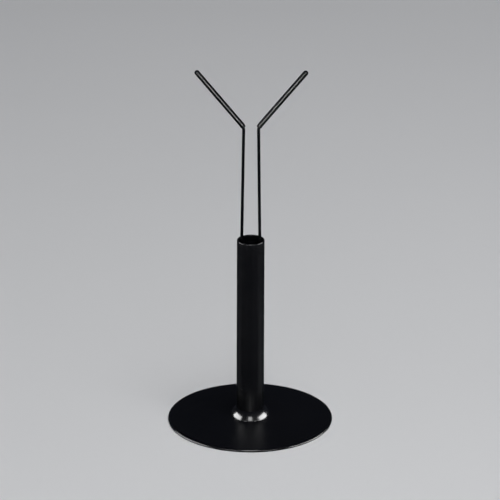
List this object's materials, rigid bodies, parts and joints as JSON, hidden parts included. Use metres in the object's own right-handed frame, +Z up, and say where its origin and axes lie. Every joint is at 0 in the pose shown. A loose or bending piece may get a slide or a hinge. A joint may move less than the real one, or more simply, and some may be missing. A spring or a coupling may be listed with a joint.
{
  "type": "wire yoke display stand",
  "caption": "Round-based display stand: a tube on a collared disc base holds a sliding sprung wire yoke whose vinyl-sleeved arms open in a V.",
  "frame": {"origin": "centre of the circle on which the base's rim rests, at the level of the table", "axes": "+Z up along the tube, which is the swivel and slide axis; the yoke's two arms lie in the XZ plane, with the right arm towards +X; +Y points away from a viewer who sees the V face on"},
  "size_m": [0.1142, 0.1142, 0.259],
  "materials": {
    "enamel": "gloss black baked enamel on steel",
    "wire_enamel": "satin-gloss black enamel on spring wire",
    "vinyl": "smooth black vinyl",
    "zinc_plated_steel": "bright zinc plating"
  },
  "bodies": {
    "base": {"base_plate": "enamel", "foot_collar": "enamel", "screw_washer": "zinc_plated_steel"},
    "post": {"post_tube": "enamel", "tube_plug": "zinc_plated_steel", "foot_screw": "zinc_plated_steel"},
    "yoke": {"yoke_wire": "wire_enamel", "left_arm_sleeve": "vinyl", "right_arm_sleeve": "vinyl"}
  },
  "joints": [
    {"name": "post_swivel", "type": "hinge", "parent": "base", "child": "post", "pos_m": [0, 0, 0], "axis": [0, 0, 1], "continuous": true},
    {"name": "yoke_slide", "type": "slide", "parent": "post", "child": "yoke", "axis": [0, 0, 1], "range_m": [-0.0275, 0.065]}
  ]
}
